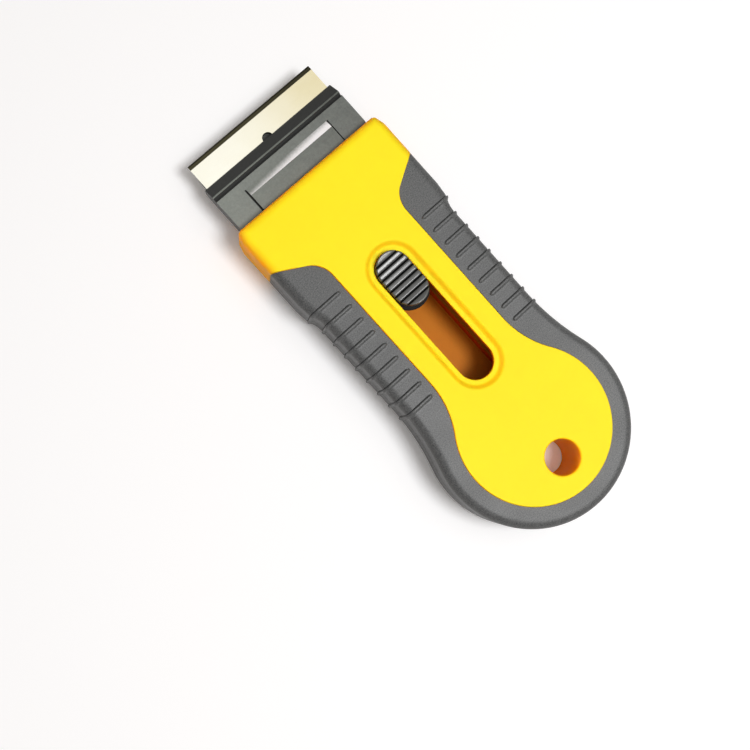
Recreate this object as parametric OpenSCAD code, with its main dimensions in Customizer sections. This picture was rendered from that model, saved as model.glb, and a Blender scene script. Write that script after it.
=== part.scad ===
// Retractable razor blade scraper: a flat two-shell handle with soft grips, a hang hole and a
// sliding carrier that pushes a 40 mm blade out of the nose when the thumb button runs forward.
// Millimetres. Origin on the hang hole's axis at the underside, +Y to the blade, +Z up.
// The pieces are drawn with the blade out and the button up.

/* [Body] */
// Radius of the round tail
tail_r = 25.8; // [20:0.2:28]
// Tail centre, ahead of the hang hole's axis
tail_y = 10.5; // [9:0.5:13]
// Radius of the curve from the tail into the neck, hollow where the tail is the wider
tail_blend_r = 60; // [40:1:80]
// Width of the neck
neck_w = 44; // [43.4:0.2:45]
// Width of the nose
nose_w = 46.4; // [46.2:0.2:50]
// Front of the nose, ahead of the hang hole's axis
nose_y = 93.5; // [92:0.5:98]
// Where the neck starts to widen into the nose
shoulder_y = 62.5; // [60:0.5:63]
// Length over which the neck widens into the nose
shoulder_l = 6.5; // [5:0.5:7]
// Plan radius of the nose's front corners
corner_r = 3.3; // [3:0.1:5]
// Thickness of the handle
body_t = 16; // [15.6:0.2:19]
// Radius of the rounded edge round both faces
edge_r = 2.7; // [2:0.1:2.9]

/* [Shells] */
// Wall that stands behind the grips
wall_t = 0.95; // [0.8:0.05:1]
// Thickness of the upper and lower faces
face_t = 2.4; // [2:0.1:2.6]
// Diameter of the hang hole
hang_hole_d = 9; // [6:0.5:10]
// Wall of the boss round the hang hole
hang_boss_t = 2; // [1.2:0.1:3]
// Running gap of the carrier, the button and the blade
slide_gap = 0.3; // [0.2:0.05:0.35]

/* [Grips] */
// Depth of the recess in the shells that each grip fills
grip_t = 1.2; // [0.9:0.05:1.25]
// How far the grips lie below the bare panel and the nose
grip_drop = 0.4; // [0.2:0.05:0.5]
// Width of the grip round the tail, from the outside to the bare disc
tail_band_w = 5.95; // [4.5:0.05:8]
// Width of the bare strip along the neck
panel_neck_w = 24.3; // [22:0.1:26]
// Radius of the hollow curve from the disc into the strip
panel_fillet_r = 24; // [18:0.5:30]
// Where the head of each grip starts to turn outwards
grip_head_y = 70.6; // [69:0.1:72]
// Radius of that turn
grip_head_r = 6.5; // [5:0.1:8]
// Slope of the grip head's front edge, from square across
grip_head_angle = 30; // [22:1:36]
// Ridges on each side of each grip
rib_count = 9; // [5:1:9]
// Spacing of the ridges
rib_pitch = 4.18; // [3.6:0.02:4.2]
// Place of the front ridge
rib_first_y = 66.3; // [65:0.1:67]
// Width of a ridge
rib_w = 0.8; // [0.6:0.05:1.2]
// Height of a ridge
rib_h = 0.4; // [0.2:0.05:0.4]
// From the grip's inner edge to the ridges' inner ends
rib_margin = 1.45; // [1:0.05:2.5]

/* [Thumb slot] */
// Width of the slot
slot_w = 9.5; // [9:0.1:10]
// Length of the slot
slot_l = 39.3; // [37:0.1:40]
// Front end of the slot
slot_front_y = 66.5; // [66:0.1:67]
// Width of the sunk ledge round the slot
ledge_w = 1.4; // [0.8:0.1:1.8]
// Depth of the ledge below the face
ledge_depth = 1; // [0.6:0.05:1.1]
// Plan width of the slope from the face down to the ledge
ledge_slope_w = 0.8; // [0.4:0.05:1]

/* [Button] */
// Width of the thumb button
button_w = 9; // [8:0.1:9.1]
// Length of the thumb button
button_l = 15; // [13:0.1:16]
// Height of the button's ends above the face
button_rise = 1.3; // [0.8:0.1:2]
// Depth of the hollow along its top
button_dish = 1.2; // [0.6:0.1:1.5]
// Ridges across its top
button_rib_count = 9; // [6:1:11]
// Depth of the valleys between them
button_rib_h = 0.5; // [0.3:0.05:0.7]
// Gap at each end of the slot
button_end_gap = 0.15; // [0.1:0.05:0.4]
// Lip that holds the button in under the slot's edge
button_lip_w = 0.95; // [0.7:0.05:1]
// Thickness of that lip
button_lip_t = 1.1; // [0.9:0.05:1.15]
// Diameter of the two pegs that drive the carrier
peg_d = 2.4; // [2:0.1:2.8]

/* [Detent spring] */
// Thickness of the spring strip
leaf_t = 0.3; // [0.2:0.05:0.4]
// Width of the spring strip
leaf_w = 6; // [4:0.1:7]
// Length of the spring strip
leaf_l = 7.4; // [6:0.1:7.6]
// Width of the ears that drop into the notches
ear_w = 2; // [1.4:0.1:3]

/* [Blade] */
// Width of the blade
blade_w = 40; // [38:0.1:40.4]
// Depth of the blade from its edge to its back
blade_l = 19; // [18:0.1:19.5]
// Thickness of the blade
blade_t = 0.3; // [0.2:0.05:0.5]
// Length of the blade that stands out of the clamp
blade_reach = 7.3; // [6:0.1:8]
// Width of the ground edge
blade_bevel = 1.2; // [0.8:0.1:2]
// Thickness left at the cutting edge
blade_edge_t = 0.05; // [0.03:0.01:0.1]
// Diameter of the hole in the blade
blade_hole_d = 3; // [2.4:0.1:3.4]

/* [Carrier and clamp] */
// Width of the carrier's head and of the clamp
head_w = 41.6; // [41.2:0.1:41.8]
// Length of the clamp, front to back
head_l = 15.5; // [15:0.1:15.8]
// How far the clamp's front edge stands out of the nose
head_reach = 13.7; // [12:0.1:13.9]
// Thickness of the jaw under the blade
jaw_t = 2.2; // [1.8:0.1:2.4]
// How far the lower jaw runs on past the clamp
jaw_reach = 3; // [2:0.1:4]
// Blade's underside above the shells' parting plane
blade_rise = 0.4; // [0.2:0.05:0.6]
// Thickness of the clamp
clamp_t = 2.3; // [2:0.1:2.4]
// Depth of the slope at the clamp's front
clamp_bevel_l = 2.8; // [2:0.1:3.5]
// Height of the clamp's front edge
clamp_lip_h = 0.7; // [0.4:0.05:1.2]
// Width of the groove behind the front slope
clamp_groove_w = 0.8; // [0.5:0.05:1.2]
// Depth of that groove
clamp_groove_h = 0.45; // [0.2:0.05:0.8]
// Width of the crest in front of the groove
clamp_crest_w = 0.35; // [0.2:0.05:0.8]
// Width of the raised pad
pad_w = 26.6; // [22:0.1:28]
// Height of the raised pad
pad_h = 0.6; // [0.4:0.05:0.7]
// From the clamp's front edge back to the pad
pad_setback = 6.6; // [5:0.1:8]
// Length of the pad's front ramp
pad_ramp_l = 1.6; // [1:0.1:2.4]
// Width of the slits beside the pad
pad_slit_w = 0.45; // [0.3:0.05:0.8]
// Depth of the slits beside the pad
pad_slit_h = 0.7; // [0.4:0.05:1.2]
// Width of the tongue that runs back under the slot
tongue_w = 14.6; // [13.6:0.1:15]
// Thickness of the tongue's top plate
tongue_t = 2.6; // [2:0.1:3]
// From the button's rear end back to the end of the tongue
tongue_tail = 2; // [1:0.1:4]
// Width of the runners and of the guide ribs
runner_w = 1.6; // [1.2:0.1:1.7]
// Length of the gussets where the tongue meets the head
gusset_l = 5.6; // [4:0.1:6]
// Width across the gussets
gusset_w = 30; // [24:0.5:32]
// Radius of the head's rear corners
head_corner_r = 3; // [2:0.1:4]
// Diameter of the clamp's two snap pegs
snap_d = 2.4; // [1.8:0.1:2.6]
// From the clamp's sides in to the snap pegs
snap_inset = 4.8; // [4:0.1:5.4]

/* [Screws] */
// Shank diameter of the case screws
screw_d = 2.8; // [2.2:0.1:3]
// Head diameter of the case screws
screw_head_d = 5.4; // [4.6:0.1:5.8]
// Head height of the case screws
screw_head_h = 1.9; // [1.4:0.1:2.2]
// Depth of the heads below the underside
screw_sink = 1.4; // [1.3:0.1:1.6]
// Length of the shanks
screw_l = 8; // [7:0.1:8.4]
// Place of the tail screw, ahead of the hang hole's axis
tail_screw_y = 17; // [14:0.5:18]
// Place of the neck screws, ahead of the hang hole's axis
neck_screw_y = 54; // [48:0.5:56]
// Distance between the neck screws
neck_screw_pitch = 30; // [29.8:0.2:30.6]
// Wall of the posts round the screws
post_t = 1.2; // [0.8:0.1:1.3]

/* [Hidden] */
$fn = 48;

// Colours
shell_yellow = "#f7d71f";
grip_grey = "#4a4b4d";
carrier_grey = "#6f7170";
steel = "#d9d6cc";
screw_steel = "#9a9c9f";

// Segments in the curves of the outline and of its rounded edge
corner_steps = 5;
shoulder_steps = 4;
blend_steps = 6;
tail_steps = 14;
fan_steps = 8;
edge_steps = 3;
dish_steps = 6;

// One overrun serves all cuts, and fixed pieces that fit each other have a small gap
cut = 0.5;
fit_gap = 0.05;

// Handle
neck_hw = neck_w / 2;
nose_hw = nose_w / 2;
parting_z = body_t / 2;
shoulder_step = nose_hw - neck_hw;
shoulder_r = (pow(shoulder_l, 2) + pow(shoulder_step, 2)) / (4 * shoulder_step);
shoulder_angle = 2 * atan(shoulder_step / shoulder_l);
blend_side = tail_r >= neck_hw ? 1 : -1;
blend_dx = neck_hw + blend_side * tail_blend_r;
blend_dy = sqrt(pow(tail_r + blend_side * tail_blend_r, 2) - pow(blend_dx, 2));
blend_angle = atan(blend_dy / blend_dx);
blend_from = blend_side > 0 ? 180 : 0;
shoulder_end_y = shoulder_y + shoulder_l;

// Bare panel between the grips
panel_hw = panel_neck_w / 2;
panel_tail_r = tail_r - tail_band_w;
panel_dx = panel_hw + panel_fillet_r;
panel_dy = sqrt(pow(panel_tail_r + panel_fillet_r, 2) - pow(panel_dx, 2));
panel_angle = atan(panel_dy / panel_dx);
grip_head_x = panel_hw + grip_head_r;
grip_tip_y = grip_head_y + grip_head_r * cos(grip_head_angle)
    + (nose_hw - grip_head_x + grip_head_r * sin(grip_head_angle)) * tan(grip_head_angle);
neck_end_y = rib_first_y - (rib_count - 0.5) * rib_pitch;
rib_slope_w = rib_w / 5;
grip_z = body_t - grip_drop;
margin_max_share = 0.6;
nose_ring_shares = [0.3, 0.6];

// Heights of the sliding parts
blade_z = parting_z + blade_rise;
carrier_z = blade_z - jaw_t;
clamp_z = blade_z + blade_t;
head_top_z = clamp_z + clamp_t;
mouth_z = carrier_z - slide_gap;
mouth_top_z = head_top_z + pad_h + slide_gap;
guide_z = head_top_z + slide_gap;
ceiling_z = body_t - face_t;

// Places of the sliding parts along the handle, blade out
clamp_y = nose_y + head_reach;
head_y = clamp_y - head_l;
edge_y = clamp_y + blade_reach;
blade_back_y = edge_y - blade_l;
jaw_y = clamp_y + jaw_reach;
slot_rear_y = slot_front_y - slot_l;
button_y = slot_front_y - button_end_gap - button_l / 2;
travel = slot_l - button_l - 2 * button_end_gap;
tongue_y = button_y - button_l / 2 - tongue_tail;
peg_y = (button_l - button_w) / 2 + peg_d;
inner_inset = grip_t + wall_t;
mouth_hw = (head_w + slide_gap) / 2;
guide_rib_x = nose_hw - inner_inset - 2 * runner_w;

// Thickness left at the front of the lower jaw
jaw_tip_share = 0.35;

// Button and spring
lip_top_z = ceiling_z - slide_gap;
lip_z = lip_top_z - button_lip_t;
ear_hw = slot_w / 2 + button_lip_w + runner_w;
guide_x = slot_w / 2 + button_lip_w;
leaf_rise = lip_z - head_top_z - leaf_t - fit_gap;

// Screws
post_r = screw_head_d / 2 + post_t;
screw_z = screw_sink + screw_head_h;
pocket_r = screw_head_d / 2 + fit_gap;
shank_hole_r = screw_d / 2 + fit_gap;
cross_w_share = 0.16;
cross_l_share = 0.6;
cross_depth_share = 0.6;

// Points on an arc, from the first angle to the last
function arc(x, y, r, from, to, steps, first = 0) =
    [for (i = [first:steps]) let (a = from + (to - from) * i / steps) [x + r * cos(a), y + r * sin(a)]];

// Radius of the curve between tail and neck, set in by a distance
function blend_r(inset) = tail_blend_r + blend_side * inset;

// Half-width of the handle at a place along it, set in by a distance
function half_width(y, inset) =
    y >= shoulder_end_y ? nose_hw - inset :
    y >= shoulder_end_y - (shoulder_r - inset) * sin(shoulder_angle) ?
        nose_hw - shoulder_r + sqrt(pow(shoulder_r - inset, 2) - pow(y - shoulder_end_y, 2)) :
    y >= shoulder_y ? neck_hw + shoulder_r - sqrt(pow(shoulder_r + inset, 2) - pow(y - shoulder_y, 2)) :
    y >= tail_y + blend_dy ? neck_hw - inset :
    y >= tail_y + (tail_r - inset) * sin(blend_angle) ?
        blend_dx - blend_side * sqrt(pow(blend_r(inset), 2) - pow(y - tail_y - blend_dy, 2)) :
        sqrt(pow(tail_r - inset, 2) - pow(y - tail_y, 2));

// Reach of a spoke from the tail's centre to the outside, which is that curve above the round tail
function spoke_reach(a, inset) = a < blend_angle || blend_side > 0 ? tail_r - inset :
    let (along = blend_dx * cos(a) + blend_dy * sin(a))
    along + sqrt(pow(along, 2) - pow(blend_dx, 2) - pow(blend_dy, 2) + pow(blend_r(inset), 2));

// Half-width of the bare panel at a place along it
function panel_half_width(y) =
    y >= tail_y + panel_dy ? panel_hw :
    y >= tail_y + panel_tail_r * sin(panel_angle) ?
        panel_dx - sqrt(pow(panel_fillet_r, 2) - pow(y - tail_y - panel_dy, 2)) :
        sqrt(pow(panel_tail_r, 2) - pow(y - tail_y, 2));

// Stations on the right side, each [kind, place, height of ridge as a share]. From the nose back: the
// front corner's arc, the fan round the grip's head, lines square across the neck, and spokes of the tail.
function corner_stations() = [for (i = [0:corner_steps]) ["corner", 90 - 90 * i / corner_steps, 0]];
function fan_stations() = [for (i = [0:fan_steps]) ["fan", i / fan_steps, 0]];
function neck_stations() = concat(
    [for (i = [0:rib_count - 1]) let (y = rib_first_y - i * rib_pitch, w = rib_w / 2) each [
        ["across", y + w + rib_slope_w, 0], ["across", y + w, 1], ["across", y - w, 1],
        ["across", y - w - rib_slope_w, 0], ["across", y - rib_pitch / 2, 0]]],
    [for (i = [1:blend_steps]) ["across", neck_end_y + (tail_y - neck_end_y) * i / blend_steps, 0]]);
function tail_stations() = [for (i = [1:tail_steps]) ["spoke", -90 * i / tail_steps, 0]];
function grip_stations() = concat(fan_stations(), neck_stations(), tail_stations());

// Plan point at a station, set in from the outside by a distance
function plan_point(s, inset) =
    s[0] == "corner" ? [nose_hw - corner_r + (corner_r - inset) * cos(s[1]),
        nose_y - corner_r + (corner_r - inset) * sin(s[1])] :
    s[0] == "fan" ? let (q = panel_point(s), y = fan_y(s[1]))
        [nose_hw - inset, y + (q[1] - y) * inset / (nose_hw - q[0])] :
    s[0] == "across" ? [half_width(s[1], inset), s[1]] :
    let (r = spoke_reach(s[1], inset)) [r * cos(s[1]), tail_y + r * sin(s[1])];

// Where the line of a fan station meets the side
function fan_y(share) = grip_tip_y + (grip_head_y - grip_tip_y) * share;

// Plan point at a station on the edge of the bare panel
function panel_point(s) =
    s[0] == "fan" ? let (a = 90 + grip_head_angle + (90 - grip_head_angle) * s[1])
        [grip_head_x + grip_head_r * cos(a), grip_head_y + grip_head_r * sin(a)] :
    s[0] == "across" ? [panel_half_width(s[1]), s[1]] :
        [panel_tail_r * cos(s[1]), tail_y + panel_tail_r * sin(s[1])];

function lifted(p, z) = [p[0], p[1], z];

// Points at a station up the side and over the rounded edge, on a skin at a depth below the outside
function skin(s, depth) = concat([lifted(plan_point(s, depth), parting_z)],
    [for (i = [0:edge_steps]) let (a = 90 * i / edge_steps, r = edge_r - depth)
        lifted(plan_point(s, edge_r - r * cos(a)), body_t - edge_r + r * sin(a))]);

// Point on the face at a station, at a distance from the panel's edge towards the rounded edge
function face_point(s, distance, z) =
    let (q = panel_point(s), gap = plan_point(s, edge_r) - q)
    lifted(q + gap * min(distance / norm(gap), margin_max_share), z);

// Columns of points that make the shell's outside: under the grip, and bare at the nose
function core_column(s) = concat(skin(s, grip_t),
    [lifted(panel_point(s), body_t - grip_t), lifted(panel_point(s), body_t)]);
function nose_column(s, to) = let (p = plan_point(s, edge_r))
    concat(skin(s, 0), [for (share = nose_ring_shares) lifted(p + (to - p) * share, body_t)]);

// Loop of points round a grip's section: over its outside, then back along its underside
function grip_loop(s) = let (h = s[2] * rib_h) concat(
    skin(s, grip_drop - h),
    [face_point(s, rib_margin + rib_slope_w, grip_z + h), face_point(s, rib_margin, grip_z)],
    [lifted(panel_point(s), grip_z), lifted(panel_point(s), body_t - grip_t)],
    [let (under = skin(s, grip_t)) for (i = [len(under) - 1:-1:0]) under[i]]);

function mirrored_x(p) = [-p[0], p[1], p[2]];

// Both sides of a list of columns whose last one lies on the centre line
function both_sides(columns) = concat(columns,
    [for (i = [len(columns) - 2:-1:0]) [for (p = columns[i]) mirrored_x(p)]]);

// Triangles between neighbouring columns of n points
function strip(a, b, n, closed) = [for (k = [0:n - (closed ? 1 : 2)]) let (j = (k + 1) % n)
    each [[a * n + k, b * n + k, b * n + j], [a * n + k, b * n + j, a * n + j]]];

// Triangles straight across between the two sides, at one row of the columns' points
function rungs(row, n, m) = [for (i = [0:(m - 3) / 2])
    let (a = i * n + row, b = a + n, d = (m - 1 - i) * n + row, c = d - n)
    each b == c ? [[a, b, d]] : [[a, b, c], [a, c, d]]];

// Upper half of a shell's outside as one closed skin, with the recess for its grip
module shell_body() {
    stations = grip_stations();
    tip = stations[0];
    centre = [0, grip_head_y];
    columns = both_sides(concat(
        [for (s = corner_stations()) nose_column(s, centre)],
        [nose_column(tip, panel_point(tip))],
        [for (s = stations) core_column(s)]));
    n = len(columns[0]);
    m = len(columns);
    polyhedron([for (c = columns) each c], concat(
        [for (i = [0:m - 1]) each strip(i, (i + 1) % m, n, false)],
        [for (t = rungs(0, n, m)) [t[2], t[1], t[0]]], rungs(n - 1, n, m)), convexity = 8);
}

// Upper horseshoe grip with its ridges as one closed skin
module grip_half() {
    loops = both_sides([for (s = grip_stations()) grip_loop(s)]);
    n = len(loops[0]);
    m = len(loops);
    polyhedron([for (l = loops) each l], concat(
        [for (i = [0:m - 2]) each strip(i, i + 1, n, true)],
        [[for (k = [0:n - 1]) k], [for (k = [n - 1:-1:0]) (m - 1) * n + k]]), convexity = 8);
}

// Plan of the hollow inside the shells
module hollow_plan() {
    right = concat(
        [for (s = corner_stations()) plan_point(s, inner_inset)],
        arc(nose_hw - shoulder_r, shoulder_end_y, shoulder_r - inner_inset,
            0, -shoulder_angle, shoulder_steps),
        arc(neck_hw + shoulder_r, shoulder_y, shoulder_r + inner_inset,
            180 - shoulder_angle, 180, shoulder_steps, 1),
        arc(blend_dx, tail_y + blend_dy, blend_r(inner_inset),
            blend_from, blend_from + blend_angle, blend_steps),
        arc(0, tail_y, tail_r - inner_inset, blend_angle, -90, tail_steps, 1));
    polygon(concat(right, [for (i = [len(right) - 2:-1:0]) [-right[i][0], right[i][1]]]));
}

// Turns a piece of the upper half into the lower half's
module flipped() translate([0, 0, body_t]) mirror([0, 0, 1]) children();

// Upright slot with round ends
module obround(w, l, y, z, h) translate([0, 0, z]) linear_extrude(h) {
    translate([-w / 2, y - (l - w) / 2]) square([w, l - w]);
    for (end = [-1, 1]) translate([0, y + end * (l - w) / 2]) circle(d = w);
}

// Block centred on X
module bar(w, y, z, l, h) translate([-w / 2, y, z]) cube([w, l, h]);

// Pair of rails at a distance from the centre line
module rails(x, w, y, l, z, h) for (side = [-1, 1])
    translate([side * (x + w / 2) - w / 2, y, z]) cube([w, l, h]);

module at_screws() {
    translate([0, tail_screw_y, 0]) children();
    for (side = [-1, 1]) translate([side * neck_screw_pitch / 2, neck_screw_y, 0]) children();
}

// What both shells share, drawn as the upper one: the outside, the hollow and the hang hole's boss
module shell_half() {
    difference() {
        shell_body();
        translate([0, 0, parting_z - cut]) linear_extrude(ceiling_z - parting_z + cut) hollow_plan();
    }
    translate([0, 0, parting_z])
        cylinder(d = hang_hole_d + 2 * hang_boss_t, h = ceiling_z - parting_z + cut);
}

// Opening in the nose's front wall that the carrier's head runs through
module mouth() bar(2 * mouth_hw, nose_y - 2 * corner_r, mouth_z, 2 * corner_r + cut, mouth_top_z - mouth_z);

module hang_bore() translate([0, 0, -cut]) cylinder(d = hang_hole_d, h = body_t + 2 * cut);

module upper_shell() color(shell_yellow) difference() {
    union() {
        shell_half();
        rails(guide_x, runner_w, slot_rear_y, slot_l, guide_z, ceiling_z - guide_z + cut);
        rails(guide_rib_x, runner_w, shoulder_end_y, nose_y - shoulder_end_y - cut,
            mouth_top_z, ceiling_z - mouth_top_z + cut);
        at_screws() translate([0, 0, parting_z]) cylinder(r = post_r, h = ceiling_z - parting_z + cut);
    }
    mouth();
    hang_bore();
    at_screws() translate([0, 0, parting_z - cut])
        cylinder(r = shank_hole_r, h = screw_z + screw_l - parting_z + 2 * cut);
    obround(slot_w, slot_l, slot_front_y - slot_l / 2, ceiling_z - cut, face_t + 2 * cut);
    ledge_cut();
    for (y = [button_y, button_y - travel])
        bar(2 * (ear_hw + cut), y - ear_w / 2 - slide_gap, guide_z - cut,
            ear_w + 2 * slide_gap, lip_z + slide_gap - guide_z + cut);
}

// Sunk ledge round the slot, with a sloped wall
module ledge_cut() hull() for (end = [0, 1])
    translate([0, slot_front_y - slot_w / 2 - end * (slot_l - slot_w), body_t - ledge_depth])
        cylinder(r1 = slot_w / 2 + ledge_w,
            r2 = slot_w / 2 + ledge_w + ledge_slope_w * (1 + cut / ledge_depth),
            h = ledge_depth + cut, $fn = 32);

module lower_shell() color(shell_yellow) difference() {
    union() {
        flipped() shell_half();
        rails(guide_x, runner_w, tongue_y - travel, head_y - tongue_y,
            face_t - cut, mouth_z - face_t + cut);
        rails(guide_rib_x, runner_w, shoulder_end_y, nose_y - shoulder_end_y - cut,
            face_t - cut, mouth_z - face_t + cut);
        at_screws() translate([0, 0, face_t - cut]) cylinder(r = post_r, h = parting_z - face_t + cut);
    }
    mouth();
    hang_bore();
    at_screws() {
        translate([0, 0, -cut]) cylinder(r = pocket_r, h = screw_z + cut);
        cylinder(r = shank_hole_r, h = parting_z + cut);
    }
}

module upper_grip() color(grip_grey) grip_half();

module lower_grip() color(grip_grey) flipped() grip_half();

// Plan of the carrier's lower plate: tongue, gussets and the head with round rear corners
module carrier_plan() {
    polygon([
        [-tongue_w / 2, tongue_y], [tongue_w / 2, tongue_y],
        [tongue_w / 2, head_y - gusset_l], [gusset_w / 2, head_y],
        [gusset_w / 2, head_y + head_corner_r], [-gusset_w / 2, head_y + head_corner_r],
        [-gusset_w / 2, head_y], [-tongue_w / 2, head_y - gusset_l]]);
    translate([-head_w / 2, head_y + head_corner_r]) square([head_w, clamp_y - head_y - head_corner_r]);
    translate([-head_w / 2 + head_corner_r, head_y]) square([head_w - 2 * head_corner_r, head_corner_r]);
    for (side = [-1, 1]) translate([side * (head_w / 2 - head_corner_r), head_y + head_corner_r])
        circle(r = head_corner_r);
}

// Extrudes a profile drawn in Y and Z across the part
module across(w) translate([-w / 2, 0, 0]) rotate([90, 0, 90]) linear_extrude(w) children();

// The clamp's snap pegs, behind the blade
module at_snaps() for (side = [-1, 1])
    translate([side * (head_w / 2 - snap_inset), (head_y + blade_back_y) / 2, 0]) children();

module blade_carrier() color(carrier_grey) {
    difference() {
        union() {
            translate([0, 0, carrier_z]) linear_extrude(clamp_z - carrier_z) carrier_plan();
            bar(tongue_w, tongue_y, carrier_z, head_y - fit_gap - tongue_y, head_top_z - carrier_z);
            across(blade_w) polygon([[clamp_y - cut, carrier_z], [clamp_y, carrier_z],
                [jaw_y, blade_z - jaw_t * jaw_tip_share], [jaw_y, blade_z], [clamp_y - cut, blade_z]]);
        }
        bar(blade_w + 2 * fit_gap, blade_back_y - fit_gap, blade_z, blade_l, jaw_t);
        bar(tongue_w - 2 * runner_w, tongue_y + runner_w, carrier_z - cut,
            head_y - gusset_l - tongue_y - runner_w, head_top_z - tongue_t - carrier_z + cut);
        for (end = [-1, 1]) translate([0, button_y + end * peg_y, carrier_z - cut])
            cylinder(d = peg_d + 2 * slide_gap, h = body_t);
        at_snaps() translate([0, 0, carrier_z - cut]) cylinder(d = snap_d + 2 * fit_gap, h = body_t);
    }
    translate([0, clamp_y, blade_z - cut])
        cylinder(d = blade_hole_d - 2 * slide_gap, h = blade_t - fit_gap + cut);
}

module blade_clamp() color(carrier_grey) {
    crest_y = clamp_y - clamp_bevel_l;
    groove_y = crest_y - clamp_crest_w;
    plate_y = groove_y - clamp_groove_w;
    pad_y = clamp_y - pad_setback;
    difference() {
        union() {
            intersection() {
                across(head_w) polygon([
                    [head_y, clamp_z], [clamp_y, clamp_z], [clamp_y, clamp_z + clamp_lip_h],
                    [crest_y, head_top_z], [groove_y, head_top_z], [groove_y, head_top_z - clamp_groove_h],
                    [plate_y, head_top_z - clamp_groove_h], [plate_y, head_top_z], [head_y, head_top_z]]);
                translate([0, 0, clamp_z]) linear_extrude(clamp_t) carrier_plan();
            }
            across(pad_w) polygon([
                [head_y, head_top_z - fit_gap], [pad_y, head_top_z - fit_gap], [pad_y, head_top_z],
                [pad_y - pad_ramp_l, head_top_z + pad_h], [head_y, head_top_z + pad_h]]);
            at_snaps() translate([0, 0, carrier_z]) cylinder(d = snap_d, h = clamp_z - carrier_z + fit_gap);
        }
        rails(pad_w / 2, pad_slit_w, head_y - cut, pad_y - head_y + cut,
            head_top_z - pad_slit_h, pad_slit_h + cut);
    }
}

module razor_blade() color(steel) difference() {
    across(blade_w) polygon([[blade_back_y, blade_z], [edge_y - blade_bevel, blade_z],
        [edge_y, blade_z + (blade_t - blade_edge_t) / 2], [edge_y, blade_z + (blade_t + blade_edge_t) / 2],
        [edge_y - blade_bevel, blade_z + blade_t], [blade_back_y, blade_z + blade_t]]);
    translate([0, clamp_y, blade_z - cut]) cylinder(d = blade_hole_d, h = blade_t + 2 * cut);
}

// Side view of the button's cap: a hollow top with ridges across it
module button_profile() {
    dish_r = (pow(button_l / 2, 2) + pow(button_dish, 2)) / (2 * button_dish);
    crown_z = body_t + button_rise;
    pitch = button_l / button_rib_count;
    top = [for (i = [0:2 * button_rib_count])
        let (y = -button_l / 2 + i * pitch / 2, valley = i % 2 == 0 ? button_rib_h : 0)
        [y, crown_z - button_dish + dish_r - sqrt(pow(dish_r, 2) - pow(y, 2)) - valley]];
    polygon(concat([[button_l / 2, lip_z], [-button_l / 2, lip_z]], top));
}

module thumb_button() color(grip_grey) {
    intersection() {
        translate([0, button_y, 0]) across(button_w) button_profile();
        obround(button_w, button_l, button_y, lip_z, body_t);
    }
    obround(button_w + 2 * (button_lip_w + slot_w / 2 - button_w / 2 - slide_gap),
        button_l + 2 * button_lip_w, button_y, lip_z, button_lip_t);
    for (end = [-1, 1]) translate([0, button_y + end * peg_y, carrier_z + jaw_t])
        cylinder(d = peg_d, h = lip_z - carrier_z - jaw_t + fit_gap);
}

// Bowed strip under the button, with an ear on each side that drops into the notches
module detent_spring() color(screw_steel) {
    bow_r = (pow(leaf_l / 2, 2) + pow(leaf_rise, 2)) / (2 * leaf_rise);
    half_angle = asin(leaf_l / 2 / bow_r);
    translate([0, button_y, head_top_z + leaf_rise - bow_r]) {
        across(leaf_w) polygon(concat(
            arc(0, 0, bow_r + leaf_t, 90 - half_angle, 90 + half_angle, dish_steps),
            arc(0, 0, bow_r, 90 + half_angle, 90 - half_angle, dish_steps)));
        bar(2 * ear_hw, -ear_w / 2, bow_r, ear_w, leaf_t);
    }
}

module screw() {
    difference() {
        translate([0, 0, screw_sink]) cylinder(d = screw_head_d, h = screw_head_h);
        for (turn = [0, 90]) rotate(turn)
            bar(screw_head_d * cross_w_share, -screw_head_d * cross_l_share / 2, screw_sink - cut,
                screw_head_d * cross_l_share, screw_head_h * cross_depth_share + cut);
    }
    translate([0, 0, screw_z]) cylinder(d = screw_d, h = screw_l);
}

module tail_screw() color(screw_steel) translate([0, tail_screw_y, 0]) screw();

module neck_screw_left() color(screw_steel) translate([-neck_screw_pitch / 2, neck_screw_y, 0]) screw();

module neck_screw_right() color(screw_steel) translate([neck_screw_pitch / 2, neck_screw_y, 0]) screw();

upper_shell();
lower_shell();
upper_grip();
lower_grip();
blade_carrier();
blade_clamp();
razor_blade();
thumb_button();
detent_spring();
tail_screw();
neck_screw_left();
neck_screw_right();
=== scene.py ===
import math
import bmesh
import bpy
from mathutils import Matrix, Vector


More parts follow.
